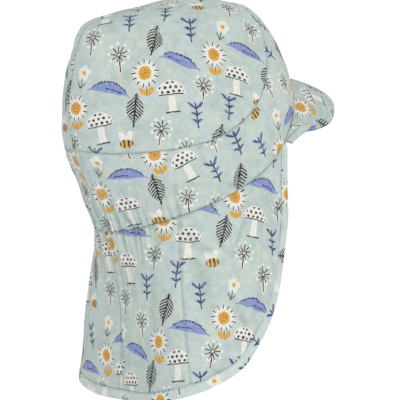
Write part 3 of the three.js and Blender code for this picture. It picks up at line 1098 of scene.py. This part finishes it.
@dataclass(frozen=True)
class Bee(Motif):
    """A small bee with cream wings."""

    body: tuple[float, float] = (4.4, 2.7)

    def layers(self, at: Spot) -> Layers:
        """The wings, the body and its stripes."""
        wings = at.mirrored().moved(0.9, 1.6).turned(-24).moved(0, 3.1).oval(2.0, 3.4)
        body = at.oval(*self.body)
        stripes = (abs((at.x / 2.7).fraction() - 0.5) * 2.7 - 0.55).most(body)
        return [
            (wings.ink(), Ink.CREAM),
            (body.ink(), Ink.MUSTARD),
            (stripes.ink(), Ink.CHARCOAL),
        ]


@dataclass(frozen=True)
class Blossom(Motif):
    """A five-petalled cream blossom on a dark stalk."""

    petals: int = 5

    def layers(self, at: Spot) -> Layers:
        """The stalk, the petals and the middle."""
        petals = at.fan(self.petals).moved(0, 2.9).disc(1.9)
        leaf = at.mirrored().moved(0, -9.5).turned(-38).stroke(0, 4.2, 0.35)
        return [
            (leaf.least(at.stroke(-9.5, -3, 0.3)).ink(), Ink.BROWN),
            (petals.ink(), Ink.CREAM),
            (at.disc(1.35).ink(), Ink.MUSTARD),
        ]


@dataclass(frozen=True)
class Place:
    """Where figures stand in the repeat: one in every other place, and another between them."""

    order: int
    tilt: float
    figure: Motif
    other: Motif | None = None


@dataclass(frozen=True)
class GardenPrint:
    """A scattered print of meadow plants that steps along a slanting repeat.

    Attributes:
        pitch: How far apart its columns stand, and how tall one is, in millimetres.
        climb: How much of a column's height each next one is shifted.
        sway: The most that a figure is turned either way, in radians.
        wobble: How far the hand-drawn outlines waver, in millimetres.
        scale: How much larger all of it is printed.
        places: What stands at each equal part of the pitch.
    """

    pitch: tuple[float, float] = (43.0, 75.0)
    climb: float = 0.25
    sway: float = 0.13
    wobble: float = 0.75
    scale: float = 1.2
    places: tuple[Place, ...] = (
        Place(0, 6, Daisy()),
        Place(1, -14, StripedLeaf(), Blossom()),
        Place(2, -6, Sprig(), SeedHead()),
        Place(3, 3, Toadstool()),
        Place(4, -6, WillowLeaf()),
        Place(5, 10, SeedHead(), Sprig()),
        Place(6, 4, Sprig(), Bee()),
        Place(7, -4, SeedHead(), StripedLeaf()),
    )

    def colour(self, bench: Bench, cut: bpy.types.NodeSocket, ground: object) -> object:
        """Prints every figure over the ground.

        Args:
            bench: Where the nodes go.
            cut: The flat cut's coordinates, in metres.
            ground: The colour below.

        Returns:
            The printed colour's socket.
        """
        place, aside = bench.parts(cut), bench.parts(bench.noise(cut, 260, 2, 0.5).outputs[1])
        u, v = (
            place[k] * (1000 / self.scale) + (aside[k] - 0.5) * (2 * self.wobble) for k in (0, 1)
        )
        bare = ground
        for stand in self.places:
            at, odd = self._stand(bench, u, v, stand)
            for figure, shown in ((stand.figure, 1 - odd), (stand.other, odd)):
                if figure is None:
                    continue
                for share, ink in figure.layers(at):
                    share = share if stand.other is None else share * shown
                    ground = bench.mix(share, ground, ink.value)
        thin = bench.number(bench.noise(cut, 420, 3, 0.6), 0)
        worn = (thin * 1.5 - 0.68).held(0, 0.35)
        return bench.mix(worn, ground, bare)

    def _stand(self, bench: Bench, u: Num, v: Num, place: Place) -> tuple[Spot, Num]:
        """The nearest of a place's spots.

        Args:
            bench: Where the nodes go.
            u: Across the cloth, in millimetres.
            v: Up the cloth.
            place: Which of the places.

        Returns:
            The spot, turned and mirrored by chance, and 1 where the other figure stands.
        """
        wide, tall = self.pitch
        start = place.order / len(self.places)
        rise = start * (self.climb + 2)
        across = u / wide + (0.5 - start)
        column = across.floor()
        upward = v / tall + (0.5 - rise) - column * self.climb
        row = upward.floor()
        odd = (column + row) % 2
        name = bench.add("ShaderNodeCombineXYZ", None, {0: column, 1: row, 2: float(place.order)})
        chance = bench.add("ShaderNodeTexWhiteNoise", None, {0: name.outputs[0]})
        sway = (bench.number(chance, 0) - 0.5) * (2 * self.sway) + math.radians(place.tilt)
        flip = (column % 2) * -2 + 1
        x = (across - column - 0.5) * wide
        y = (upward - row - 0.5) * tall
        c, s = sway.cosine(), sway.sine()
        return Spot(bench, (x * c + y * s) * flip, y * c - x * s), odd


# Finishes


class Look:
    """A finish, whose material is built once."""

    name: str

    def material(self) -> bpy.types.Material:
        """The finish's material."""
        made = bpy.data.materials.get(self.name)
        if made is None:
            made = bpy.data.materials.new(self.name)
            made.use_nodes = True
            self.build(Bench(made.node_tree))
        return made

    def build(self, bench: Bench) -> None:
        """Adds the finish's nodes."""
        raise NotImplementedError


@dataclass(frozen=True)
class Cotton(Look):
    """Plain-weave cotton, printed or not.

    Attributes:
        name: The material's name.
        ground: The colour between the figures.
        wash: A second colour that drifts over it.
        printed: The print, or None.
        faded: How much of the ground's colour veils the print, as on the cloth's back.
        thread: The weave's pitch, in millimetres.
        crumple: How deep the fine creases are, from 0 to 1.
        seam: How far from an edge painted shade darkens the cloth, in millimetres, how much, and the
            shade's tone.
        hollow: How much painted shade darkens a fold's hollow, and the shade's tone.
        ridge: How much painted highlight lightens a fold's ridge, and the highlight's tone.
        blots: The tones of the ground's blots.
        speck: The specks' tone.
    """

    name: str
    ground: str = "9eaaa7"
    wash: str = "abb6b3"
    printed: GardenPrint | None = None
    faded: float = 0.0
    thread: float = 0.3
    crumple: float = 0.5
    seam: tuple[float, float, str] = (1.6, 0.35, "506260")
    hollow: tuple[float, str] = (0.48, "5e7874")
    ridge: tuple[float, str] = (0.3, "c6d2ce")
    blots: tuple[str, ...] = ("93a8a5", "bac2ac", "aab9be")
    speck: str = "c8cbb4"

    def build(self, bench: Bench) -> None:
        """Ground, specks, print, painted shade and highlight, weave and creases."""
        cut = bench.add("ShaderNodeUVMap", {"uv_map": "cut"}).outputs[0]
        colour = self._ground(bench, cut)
        if self.printed is not None:
            bare = colour
            colour = self.printed.colour(bench, cut, colour)
            colour = bench.mix(self.faded, colour, bare) if self.faded else colour
        shaded = self._shade(bench, colour)
        u, v = (part * (2 * math.pi / self.thread / MILLI) for part in bench.parts(cut)[:2])
        weave = u.sine() * v.sine()
        fine = bench.number(bench.noise(cut, 150, 3, 0.55), 0)
        values = {
            "Base Color": shaded,
            "Roughness": 0.84 + (fine - 0.5) * 0.12,
            "Specular IOR Level": 0.15,
            "Sheen Weight": 0.05,
            "Sheen Roughness": 0.5,
            "Normal": bench.bump(weave * 0.02 + fine * self.crumple, 0.5, 0.0006),
        }
        bench.finish("ShaderNodeBsdfPrincipled", values)

    def _shade(self, bench: Bench, colour: bpy.types.NodeSocket) -> bpy.types.NodeSocket:
        """Paints shade along the seams and in the folds' hollows, and paints highlight on their
        ridges.
        """
        # Painted shade along the seams, darker towards each panel's edge.
        reach, share, tone = self.seam
        near = (1 - bench.mark("edge") / reach).held(0, 1)
        colour = bench.mix(near * share, colour, paint(tone))
        # Painted shade in the folds' hollows.
        bend = bench.mark("hollow")
        share, tone = self.hollow
        colour = bench.mix(bend.held(0, 1) * share, colour, paint(tone))
        # Painted highlight on the folds' ridges.
        share, tone = self.ridge
        return bench.mix((-bend - 0.12).held(0, 1) * share, colour, paint(tone))

    def _ground(self, bench: Bench, cut: bpy.types.NodeSocket) -> object:
        """A watery ground with fine cream specks."""
        drift = bench.number(bench.noise(cut, 34, 4, 0.6), 0)
        colour = bench.mix((drift * 3 - 1).held(0, 1), paint(self.ground), paint(self.wash))
        patches = bench.parts(bench.noise(cut, 150, 3, 0.6).outputs[1])
        for patch, blot in zip(patches, self.blots):
            colour = bench.mix((patch * 4 - 2).held(0, 0.4), colour, paint(blot))
        if self.printed is None:
            return colour
        specks = bench.add("ShaderNodeTexVoronoi", None, {0: cut, "Scale": 330.0})
        far = bench.number(specks, "Distance")
        kept = (bench.parts(specks.outputs["Color"])[0] > 0.5) * 0.6
        return bench.mix((0.19 - far).most(0).least(0.05) * 20 * kept, colour, paint(self.speck))


@dataclass(frozen=True)
class Thread(Look):
    """Sewing thread, twisted."""

    name: str = "sewing_thread"
    colour: str = "94a6a2"
    # The painted shade between the twist's strands.
    shade: str = "7a8e8c"

    def build(self, bench: Bench) -> None:
        """A colour with painted shade between the twist's strands, and the strand's twist in its bump.
        """
        place = bench.add("ShaderNodeTexCoord").outputs["Object"]
        bands = {"Vector": place, "Scale": 2600.0}
        strands = bench.number(bench.add("ShaderNodeTexWave", {"wave_type": "BANDS"}, bands), 1)
        values = {
            "Base Color": bench.mix(strands * 0.3, paint(self.colour), paint(self.shade)),
            "Roughness": 0.6,
            "Sheen Weight": 0.3,
            "Normal": bench.bump(strands, 0.3, 0.0001),
        }
        bench.finish("ShaderNodeBsdfPrincipled", values)


@dataclass(frozen=True)
class Finishes:
    """Every finish on the cap."""

    cloth: Look = Cotton("meadow_cotton", printed=GardenPrint())
    peak: Look = Cotton("meadow_cotton_peak", "97a5a1", "a2aeaa", GardenPrint(), crumple=0.3)
    # The hem's paler ground is painted light, standing in for light from below.
    hem: Look = Cotton("meadow_cotton_hem_painted_light", "abb7b4", "b6c0bc", GardenPrint(), crumple=0.4)
    back: Look = Cotton("meadow_cotton_back", "a6b3ae", "aeb8b3", GardenPrint(), faded=0.6)
    lining: Look = Cotton("pale_lining", "b6bdb9", "bcc1bd", crumple=0.6)
    thread: Look = Thread()


# Stitches


class StitchTree:
    """A Geometry Nodes tree that sews stitches along edges."""

    def __init__(self) -> None:
        """Builds the tree once."""
        self.tree = bpy.data.node_groups.new("sewn_stitches", "GeometryNodeTree")
        self.inputs: dict[str, str] = {}
        sockets = {
            "Edges": "NodeSocketGeometry",
            "Pitch": "NodeSocketFloat",
            "Length": "NodeSocketFloat",
            "Thickness": "NodeSocketFloat",
            "Thread": "NodeSocketMaterial",
        }
        for name, kind in sockets.items():
            socket = self.tree.interface.new_socket(name, in_out="INPUT", socket_type=kind)
            self.inputs[name] = socket.identifier
        self.tree.interface.new_socket("Stitches", in_out="OUTPUT", socket_type=sockets["Edges"])
        self._build()

    def _build(self) -> None:
        """Curve, points, turned and scaled stitches, made real."""
        add = Bench(self.tree).add
        given = add("NodeGroupInput").outputs
        curve = add("GeometryNodeMeshToCurve", None, {"Mesh": given["Edges"]})
        spacing = {"Curve": curve.outputs[0], "Length": given["Pitch"]}
        spaced = add("GeometryNodeResampleCurve", {"mode": "LENGTH"}, spacing)
        tangent = add("GeometryNodeInputTangent")
        out = add("GeometryNodeInputNamedAttribute", {"data_type": "FLOAT_VECTOR"}, {"Name": "out"})
        turn = "FunctionNodeAlignRotationToVector"
        along = add(turn, {"axis": "X"}, {"Vector": tangent.outputs[0]})
        ways = {"Rotation": along.outputs[0], "Vector": out.outputs[0]}
        upright = add(turn, {"axis": "Z", "pivot_axis": "X"}, ways)
        sizes = {"X": given["Length"], "Y": given["Thickness"], "Z": given["Thickness"]}
        size = add("ShaderNodeCombineXYZ", None, sizes)
        ball = add("GeometryNodeMeshUVSphere", None, {"Segments": 6, "Rings": 4, "Radius": 0.5})
        stitches = {"Points": spaced, "Instance": ball, "Rotation": upright, "Scale": size}
        links = {name: node.outputs[0] for name, node in stitches.items()}
        sewn = add("GeometryNodeInstanceOnPoints", None, links)
        real = add("GeometryNodeRealizeInstances", None, {"Geometry": sewn.outputs[0]})
        smooth = add("GeometryNodeSetShadeSmooth", None, {"Geometry": real.outputs[0]})
        dressed = {"Geometry": smooth.outputs[0], "Material": given["Thread"]}
        last = add("GeometryNodeSetMaterial", None, dressed)
        add("NodeGroupOutput", None, {"Stitches": last.outputs[0]})

    def sew(self, name: str, lines: Sequence[tuple[Array, Array]], seam: "Seam") -> bpy.types.Object:
        """Sews stitches along some lines.

        Args:
            name: The piece's name.
            lines: Each line's points in millimetres and the way out at each.
            seam: The stitches' sizes and thread.

        Returns:
            A plain mesh object in the part's frame.
        """
        points = np.concatenate([line for line, _ in lines])
        outs = np.concatenate([out for _, out in lines])
        edges, start = [], 0
        for line, _ in lines:
            edges += [(k, k + 1) for k in range(start, start + len(line) - 1)]
            start += len(line)
        mesh = bpy.data.meshes.new(name + "_line")
        mesh.from_pydata(((points + np.array(CapForm.origin)) * MILLI).tolist(), edges, [])
        way = mesh.attributes.new("out", "FLOAT_VECTOR", "POINT")
        way.data.foreach_set("vector", outs.astype(np.float32).ravel())
        guide = add_object(name + "_line", mesh)
        sewing = guide.modifiers.new("stitches", "NODES")
        sewing.node_group = self.tree
        for size in ("pitch", "length", "thickness"):
            sewing[self.inputs[size.capitalize()]] = getattr(seam, size) * MILLI
        sewing[self.inputs["Thread"]] = seam.thread.material()
        bpy.context.view_layer.update()
        evaluated = guide.evaluated_get(bpy.context.evaluated_depsgraph_get())
        made = bpy.data.meshes.new_from_object(evaluated)
        made.name = name
        bpy.data.objects.remove(guide)
        return add_object(name, made)


@dataclass(frozen=True)
class Seam:
    """A row of stitches' sizes, in millimetres."""

    pitch: float = 3.0
    length: float = 2.3
    thickness: float = 0.42
    thread: Look = Thread()


# The cap's sub-assemblies


@dataclass
class Crown:
    """The crown's two halves, which meet on the centre seam."""

    form: CapForm
    finishes: Finishes
    wall: float = 1.6
    columns: int = 150
    rows: int = 64
    softness: Rumple = Rumple(0.85, 2.0, 1.9, 7, (5.5, 26, 34), (0, 3, 13))
    cuts: tuple[Cut, Cut] = ((-9.0, (11.0, 23.0)), (7.0, (31.0, 57.0)))

    def half(self, side: Side) -> Cloth:
        """One half, in straight rows from the centre seam to the band's seam.

        Args:
            side: The wearer's right or left.

        Returns:
            The panel, with its flat cut.
        """
        form = self.form
        across, down = crowded(self.columns, 0.6), crowded(self.rows)
        angle = 180 * across[:, None]
        seam = form.crown_seam.read("share", angle)
        ends = [float(form.crown_seam.read("share", at)) for at in (0, 180)]
        cuts = [end - form.half_gap_share(at, end) for at, end in zip((0, 180), ends)]
        middle = cuts[0] + (-cuts[1] - cuts[0]) * across[:, None]
        edge = seam - form.half_gap_share(-side * angle, seam)
        turn = np.radians(angle)
        out = -side * down * edge * np.sin(turn)
        along = middle + (edge * np.cos(turn) - middle) * down
        points = form.disc_point(out, along)
        normals = form.cap_normal(np.degrees(np.arctan2(out, along)), np.hypot(out, along))
        centre = side * form.seam_gap / 2
        points[:, 0, 0] = points[[0, -1], :, 0] = centre
        for row in (normals[:, 0], normals[0], normals[-1]):
            row[..., 0] = 0
        if side > 0:
            across, points, normals = 1 - across[::-1], points[::-1], normals[::-1]
        cloth = Cloth(side.of("crown") + "_cloth", points, unit(normals), across, down, self.wall)
        cloth.lay(self.cuts[side > 0])
        cloth.rumple(self.softness, side)
        return cloth

    def build(self) -> list[bpy.types.Object]:
        """Makes both halves, dressed."""
        pieces = []
        for side in Side:
            cloth = self.half(side)
            piece = cloth.make(self.finishes.cloth, self.finishes.lining)
            pieces.append(dress(piece, "printed_cotton", side.of("crown")))
        return pieces


@dataclass
class Band:
    """The forehead panel, which runs on round the cap as a band."""

    form: CapForm
    finishes: Finishes
    wall: float = 1.6
    columns: int = 520
    rows: int = 36
    softness: Rumple = Rumple(0.75, 1.5, 1.6, 7, (5.0, 24, 30), (8, 9, 19))
    cut: Cut = (2.0, (47.0, 9.0))

    def cloth(self) -> Cloth:
        """The band from the centre back round by the wearer's right to the centre back."""
        form = self.form
        across, down = crowded(self.columns, 0.6), crowded(self.rows)
        angle = (360 * across)[:, None]
        angle = np.where(angle > 180, angle - 360, angle)
        seam = form.crown_seam.read("share", np.abs(angle))
        top = seam + form.half_gap_share(angle, seam)
        share = top + (1 - top) * down
        angle = angle + 0 * share
        points, normals = form.cap_point(angle, share), form.cap_normal(angle, share)
        for end, side in ((0, -1), (-1, 1)):
            points[end, :, 0] = side * form.seam_gap / 2
            normals[end, :, 0] = 0
        cloth = Cloth("forehead_band_cloth", points, unit(normals), across, down, self.wall)
        run, depth = run_along(points[:, self.rows // 2]), run_along(points, 1)
        guess = np.stack([run[:, None] + 0 * depth, (depth[:, -1:] - depth)], -1)
        cloth.lay(self.cut, guess)
        cloth.rumple(self.softness)
        return cloth

    def build(self) -> list[bpy.types.Object]:
        """Makes the band, dressed."""
        cloth = self.cloth()
        piece = cloth.make(self.finishes.cloth, self.finishes.lining)
        dress(piece, "printed_cotton", "front_band")
        return [piece]


@dataclass
class Peak:
    """The stiffened peak, printed above and below, with a topstitched edge."""

    form: CapForm
    finishes: Finishes
    wall: float = 3.0
    columns: int = 160
    rows: int = 30
    stitch_inset: float = 5.5
    unsewn: int = 6
    groove: tuple[float, float] = (1.1, 0.3)
    unevenness: float = 0.12
    tuck: float = 1.5
    cut: Cut = (4.0, (5.0, 63.0))

    def cloth(self) -> Cloth:
        """The peak's upper face and wall."""
        form = self.form
        across, down = crowded(self.columns, 0.3), crowded(self.rows)
        angle = form.peak_end + (360 - 2 * form.peak_end) * across[:, None] + 0 * down
        share = down + 0 * angle
        points, normals = form.peak_point(angle, share), form.peak_normal(angle, share)
        points[:, 0] -= form.cap_normal(angle[:, 0], 1 + 0 * angle[:, 0]) * self.tuck
        cloth = Cloth("curved_peak_cloth", points, normals, across, down, self.wall)
        run = run_along(points[:, -1])[:, None]
        out = np.linalg.norm(points - points[:, :1], axis=-1)
        cloth.lay(self.cut, np.stack([run + 0 * out, -out], -1))
        wide, deep = self.groove
        from_edge = np.linalg.norm(points - points[:, -1:], axis=-1)
        groove = np.exp(-(((from_edge - self.stitch_inset) / wide) ** 2))
        cloth.raise_by(self.unevenness * ruffle(points, 12, 21) - deep * groove)
        return cloth

    def stitch_line(self, cloth: Cloth) -> tuple[Array, Array]:
        """The topstitching's line on the upper face, and the way out along it."""
        line, ways = [], []
        sewn = slice(self.unsewn, -self.unsewn)
        for column, way in zip(cloth.points[sewn], cloth.normals[sewn]):
            distance = np.linalg.norm(column - column[-1], axis=-1)
            row = int(np.argmin(np.abs(distance - self.stitch_inset)))
            line.append(column[row])
            ways.append(way[row])
        return np.array(line), np.array(ways)

    def build(self, stitches: StitchTree) -> list[bpy.types.Object]:
        """Makes the peak and its topstitching."""
        cloth = self.cloth()
        piece = cloth.make(self.finishes.peak, self.finishes.peak)
        dress(piece, "peak_cotton", "peak")
        line = self.stitch_line(cloth)
        sewn = dress(stitches.sew("peak_topstitch", [line], Seam()), "peak_cotton")
        return [piece, sewn]


@dataclass
class Flap:
    """The neck flap's two halves, the binding round them and its stitches."""

    form: CapForm
    finishes: Finishes
    wall: float = 1.2
    binding_wall: float = 2.2
    columns: int = 190
    rows: int = 96
    softness: Rumple = Rumple(0.25, 2.0, 1.8, 8, (6.0, 20, 26), (30, 33, 43), 0.35)
    cuts: tuple[Cut, Cut] = ((3.0, (19.0, 41.0)), (-5.0, (61.0, 15.0)))
    path_steps: tuple[int, int] = (90, 420)
    path_reach: int = 4
    smoothings: int = 60
    unsewn: int = 4
    roundness: float = 0.45
    fullness: float = 0.1
    stitch_inset: float = 1.1

    def half(self, side: Side) -> Cloth:
        """One half of the flap.

        Args:
            side: The wearer's right or left.

        Returns:
            The panel, with its flat cut.
        """
        form = self.form
        across, down = np.linspace(0, 1, self.columns + 1) ** 1.3, crowded(self.rows, 0.6)
        angle = -side * form.flap_end() * across[:, None] + 0 * down
        share = down + 0 * angle
        points, normals = form.flap_point(angle, share), form.flap_normal(angle, share)
        points[0, :, 0] = side * form.seam_gap / 2
        normals[0, :, 0] = 0
        if side > 0:
            across, points, normals = 1 - across[::-1], points[::-1], normals[::-1]
        cloth = Cloth(side.of("neck_flap") + "_cloth", points, unit(normals), across, down, self.wall)
        cloth.lay(self.cuts[side > 0])
        cloth.rumple(self.softness, side)
        return cloth

    def path(self) -> tuple[Array, Array, Array]:
        """The flap's free edge, the way out of the cloth and the way to the edge's outside."""
        form, end = self.form, self.form.flap_end()
        down = np.linspace(0, 1, self.path_steps[0])[:-1]
        angles = np.linspace(end, -end, self.path_steps[1])
        turns = np.concatenate([np.full(len(down), end), angles, np.full(len(down), -end)])
        shares = np.concatenate([down, np.ones(len(angles)), down[::-1]])
        points, normals = form.flap_point(turns, shares), form.flap_normal(turns, shares)
        for _ in range(self.smoothings):
            points[1:-1] = (points[:-2] + 2 * points[1:-1] + points[2:]) / 4
            normals[1:-1] = unit(normals[:-2] + 2 * normals[1:-1] + normals[2:])
        place = np.arange(len(points))
        after = np.minimum(place + self.path_reach, len(points) - 1)
        along = points[after] - points[np.maximum(place - self.path_reach, 0)]
        away = unit(np.cross(normals, along))
        for row, at in ((0, form.peak_end), (-1, -form.peak_end)):
            ends = form.rim_point(np.array([at, math.copysign(end, at)]))
            away[row] = unit(ends[0] - ends[1])
        return points, normals, away

    def binding(self) -> bpy.types.Object:
        """The folded binding: a soft flattened tube along the flap's free edge."""
        form = self.form
        points, normals, away = self.path()
        run = run_along(points)
        around = np.linspace(0, 2 * math.pi, 25)[:-1]
        wide, thick = (
            np.sign(part) * np.abs(part) ** self.roundness for part in (np.cos(around), np.sin(around))
        )
        reach = form.seam_gap + form.binding_width * (0.5 + wide / 2)
        pucker = 1 + self.fullness * ruffle(np.stack([run, 0 * run, 0 * run], -1), 6.5, 50)
        lift = -self.wall / 2 + thick[None, :] * self.binding_wall / 2 * pucker[:, None]
        rings = points[:, None] + away[:, None] * reach[None, :, None]
        rings = rings + normals[:, None] * lift[..., None]
        count, sides = rings.shape[:2]
        index = np.arange(count * sides).reshape(count, sides)
        after = np.roll(index, -1, axis=1)
        quads = np.stack([index[:-1], index[1:], after[1:], after[:-1]], -1).reshape(-1, 4)
        faces = quads.tolist() + [index[0].tolist(), index[-1][::-1].tolist()]
        flat = np.stack(np.broadcast_arrays(run[:, None] + 17, 29 - reach[None, :]), -1)
        return make_object(
            "flap_binding_cloth",
            rings.reshape(-1, 3),
            np.array(faces, dtype=object),
            flat.reshape(-1, 2),
            [self.finishes.hem],
        )

    def stitch_lines(self) -> list[tuple[Array, Array]]:
        """Lines just inside the binding's inner edge, on both of its faces."""
        points, normals, away = self.path()
        reach = self.form.seam_gap + self.stitch_inset
        sewn = slice(self.unsewn, -self.unsewn)
        lines = []
        for side in (1, -1):
            lift = -self.wall / 2 + side * self.binding_wall * 0.47
            line = points + away * reach + normals * lift
            lines.append((line[sewn], side * normals[sewn]))
        return lines

    def build(self, stitches: StitchTree) -> list[bpy.types.Object]:
        """Makes both halves, the binding and its stitches."""
        binding = dress(self.binding(), "hem_cotton", "flap_hem")
        sewn = stitches.sew("binding_topstitch", self.stitch_lines(), Seam())
        pieces = [binding, dress(sewn, "hem_cotton")]
        for side in Side:
            cloth = self.half(side)
            piece = cloth.make(self.finishes.cloth, self.finishes.back)
            pieces.append(dress(piece, "printed_cotton", side.of("flap")))
        return pieces


def dress(piece: bpy.types.Object, slot: str, *nodes: str) -> bpy.types.Object:
    """Ties a piece to the frame.

    Args:
        piece: The piece, finished.
        slot: The record's material slot; not used.
        nodes: The CAD nodes that it stands for.

    Returns:
        The piece.
    """
    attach(piece, "root")
    if nodes:
        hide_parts(*nodes)
    return piece


# The studio


@dataclass(frozen=True)
class Studio:
    """A pale floor under a white sky, one soft light and the camera of the photograph."""

    azimuth: float = 235.0
    elevation: float = 4.0
    distance: float = 2.4
    view_width: float = 0.303
    target: tuple[float, float, float] = (-0.00539, -0.00064, -0.15082)
    floor_height: float = -0.55
    floor_reach: float = 60.0
    key_colour: tuple[float, float, float] = (1.0, 0.94, 0.93)
    key_turn: float = 17.0
    key_elevation: float = -8.0
    key_distance: float = 3.6
    key_power: float = 108.0
    key_size: float = 1.9
    sky_strength: float = 1.07
    # The floor's painted shadow: its tone under the cap, then its tone further out.
    floor_shadow_tones: tuple[float, float] = (0.9, 0.97)
    sensor: float = 36.0

    def build(self) -> None:
        """Makes the floor, the world, the light and the camera."""
        self._floor()
        self._world()
        self._light()
        self._camera()

    def _aim(
        self, name: str, data: bpy.types.ID, azimuth: float, elevation: float, distance: float
    ) -> bpy.types.Object:
        """Stands a light or a camera round the cap, turned to it.

        Args:
            name: Its name.
            data: The light or the camera.
            azimuth: Degrees round the cap from its front.
            elevation: Degrees above the horizon.
            distance: Metres from the cap.

        Returns:
            The new object.
        """
        a, e = math.radians(azimuth), math.radians(elevation)
        way = Vector((math.sin(a) * math.cos(e), -math.cos(a) * math.cos(e), math.sin(e)))
        item = add_object(name, data)
        item.location = Vector(self.target) + way * distance
        item.rotation_mode = "QUATERNION"
        item.rotation_quaternion = (-way).to_track_quat("-Z", "Y")
        return item

    def _floor(self) -> None:
        """A wide round floor with a painted shadow, greyer under the cap, which also sends less light
        up onto it.
        """
        shell = bmesh.new()
        bmesh.ops.create_circle(shell, cap_ends=True, segments=96, radius=self.floor_reach)
        bmesh.ops.translate(shell, verts=shell.verts, vec=(0, 0, self.floor_height))
        mesh = bpy.data.meshes.new("studio_floor")
        shell.to_mesh(mesh)
        shell.free()
        material = bpy.data.materials.new("studio_white")
        material.use_nodes = True
        bench = Bench(material.node_tree)
        x, y, _ = bench.parts(bench.add("ShaderNodeTexCoord").outputs["Object"])
        near, far = ((tone, tone, tone, 1) for tone in self.floor_shadow_tones)
        # Painted shadow: the near tone within half a metre of the cap, fading to the far tone by a
        # metre and a half.
        tone = bench.mix((bench.length(x, y) - 0.5).held(0, 1), near, far)
        bench.finish("ShaderNodeBsdfDiffuse", {"Color": tone})
        mesh.materials.append(material)
        floor = add_object("studio_floor", mesh)

    def _world(self) -> None:
        """An even white sky."""
        world = bpy.data.worlds.new("studio_sky")
        bpy.context.scene.world = world
        world.use_nodes = True
        values = {"Color": (1, 1, 1, 1), "Strength": self.sky_strength}
        Bench(world.node_tree).finish("ShaderNodeBackground", values, "World")
        bpy.context.scene.view_settings.view_transform = "Standard"

    def _light(self) -> None:
        """A large soft light, a little round from the camera and below it."""
        lamp = bpy.data.lights.new("key", "AREA")
        lamp.energy, lamp.size, lamp.color = self.key_power, self.key_size, self.key_colour
        azimuth = self.azimuth + self.key_turn
        self._aim("key", lamp, azimuth, self.key_elevation, self.key_distance)

    def _camera(self) -> None:
        """A long lens at the photograph's angle."""
        lens = bpy.data.cameras.new("camera")
        lens.sensor_width = self.sensor
        lens.lens = self.sensor * self.distance / self.view_width
        lens.clip_end = 200
        camera = self._aim("camera", lens, self.azimuth, self.elevation, self.distance)
        bpy.context.scene.camera = camera


def main() -> None:
    """Builds the cap's sub-assemblies and the studio."""
    logging.basicConfig(level=logging.INFO, format="%(message)s")
    form, finishes, stitches = CapForm(), Finishes(), StitchTree()
    made = Crown(form, finishes).build()
    made += Band(form, finishes).build()
    made += Peak(form, finishes).build(stitches)
    made += Flap(form, finishes).build(stitches)
    for piece in made:
        LOG.info("%s: %d faces", piece.name, len(piece.data.polygons))
    Studio().build()


if __name__ == "__main__":
    main()
